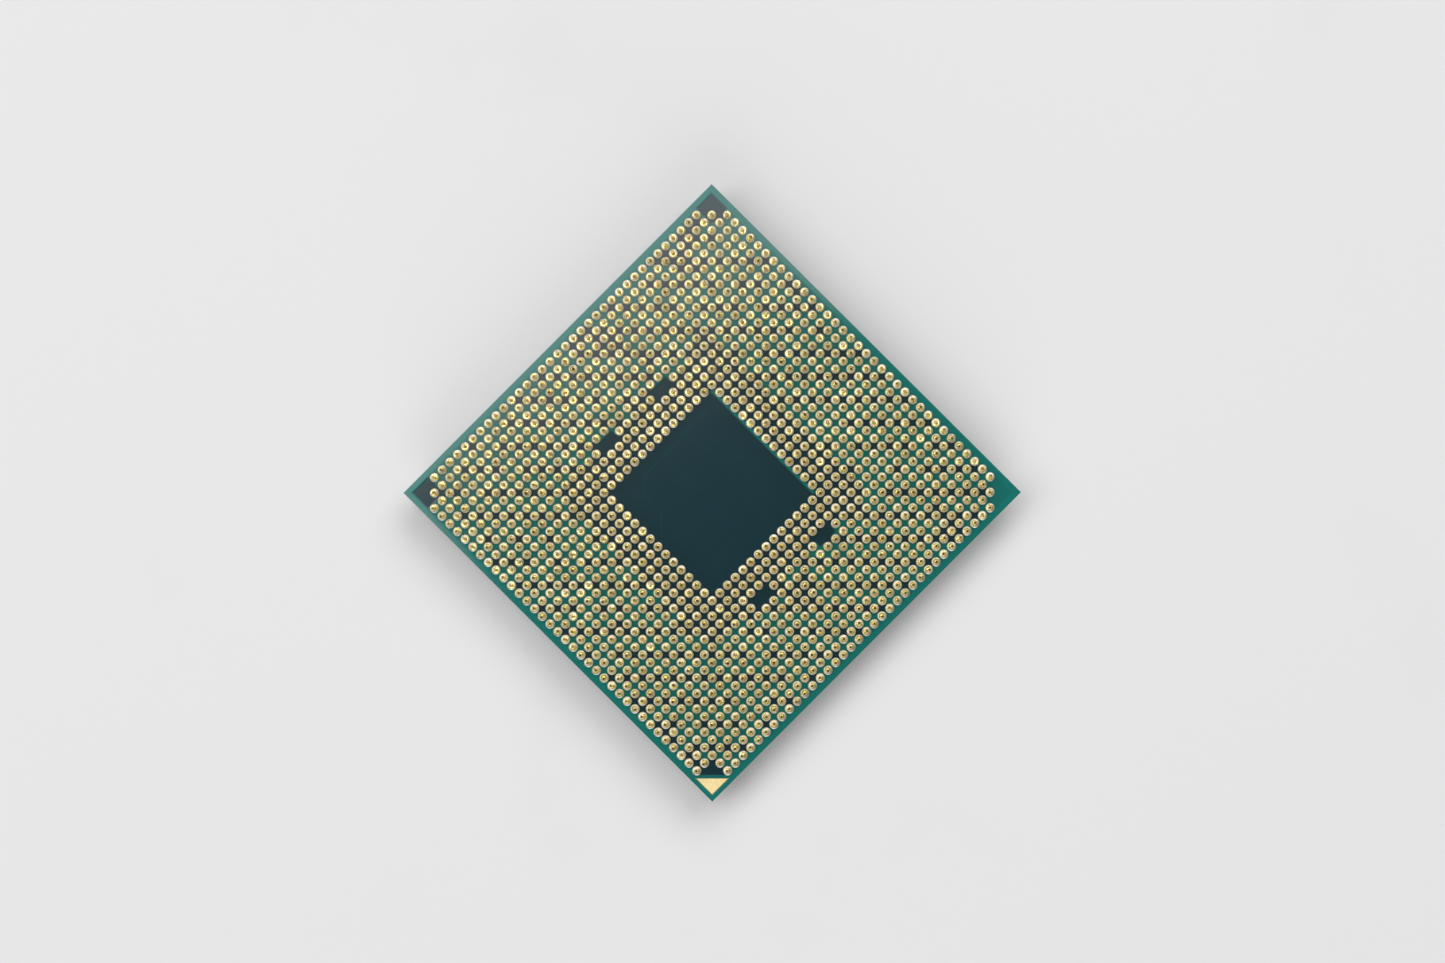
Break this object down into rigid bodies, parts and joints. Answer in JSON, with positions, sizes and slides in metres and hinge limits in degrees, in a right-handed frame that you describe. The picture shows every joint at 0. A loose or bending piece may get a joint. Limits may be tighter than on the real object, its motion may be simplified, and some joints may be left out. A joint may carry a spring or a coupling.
{
  "type": "cpu processor",
  "caption": "Square lidded pin-grid processor lying on its metal lid, gold pins up around a bare middle, with a gold triangle in one corner.",
  "frame": {"origin": "centre of the lid's flat cooling face, on which the processor lies", "axes": "+Z out of the lid along the pins, +X and +Y along the sides of the square board, with the corner that carries the gold triangle at (+X, -Y)"},
  "size_m": [0.04, 0.04, 0.0061],
  "materials": {
    "core": "matte",
    "build_up": "matte",
    "copper": "satin",
    "solder_mask": "satin",
    "gold_mark": "satin",
    "pin_gold": "polished",
    "pin_solder": "satin",
    "nickel": "satin",
    "adhesive": "matte",
    "thermal_solder": "satin",
    "silicon": "polished",
    "underfill": "gloss",
    "capacitor_ceramic": "satin",
    "tin": "satin"
  },
  "bodies": {
    "root": {"heat_spreader_lid": "nickel", "lid_adhesive": "adhesive", "thermal_solder": "thermal_solder", "silicon_die": "silicon", "die_underfill": "underfill", "capacitor_bodies_left": "capacitor_ceramic", "capacitor_bodies_right": "capacitor_ceramic", "capacitor_terminals_left": "tin", "capacitor_terminals_right": "tin", "capacitor_solder_left": "pin_solder", "capacitor_solder_right": "pin_solder", "lid_side_solder_mask": "solder_mask", "lid_side_corner_mark": "gold_mark", "lid_side_copper": "copper", "lid_side_build_up": "build_up", "core_laminate": "core", "pin_side_build_up": "build_up", "pin_side_copper": "copper", "pin_side_solder_mask": "solder_mask", "pin_side_corner_mark": "gold_mark", "pin_solder_bank_a": "pin_solder", "pin_solder_bank_b": "pin_solder", "pin_solder_bank_c": "pin_solder", "pin_solder_bank_d": "pin_solder", "pins_bank_a": "pin_gold", "pins_bank_b": "pin_gold", "pins_bank_c": "pin_gold", "pins_bank_d": "pin_gold"}
  },
  "joints": []
}
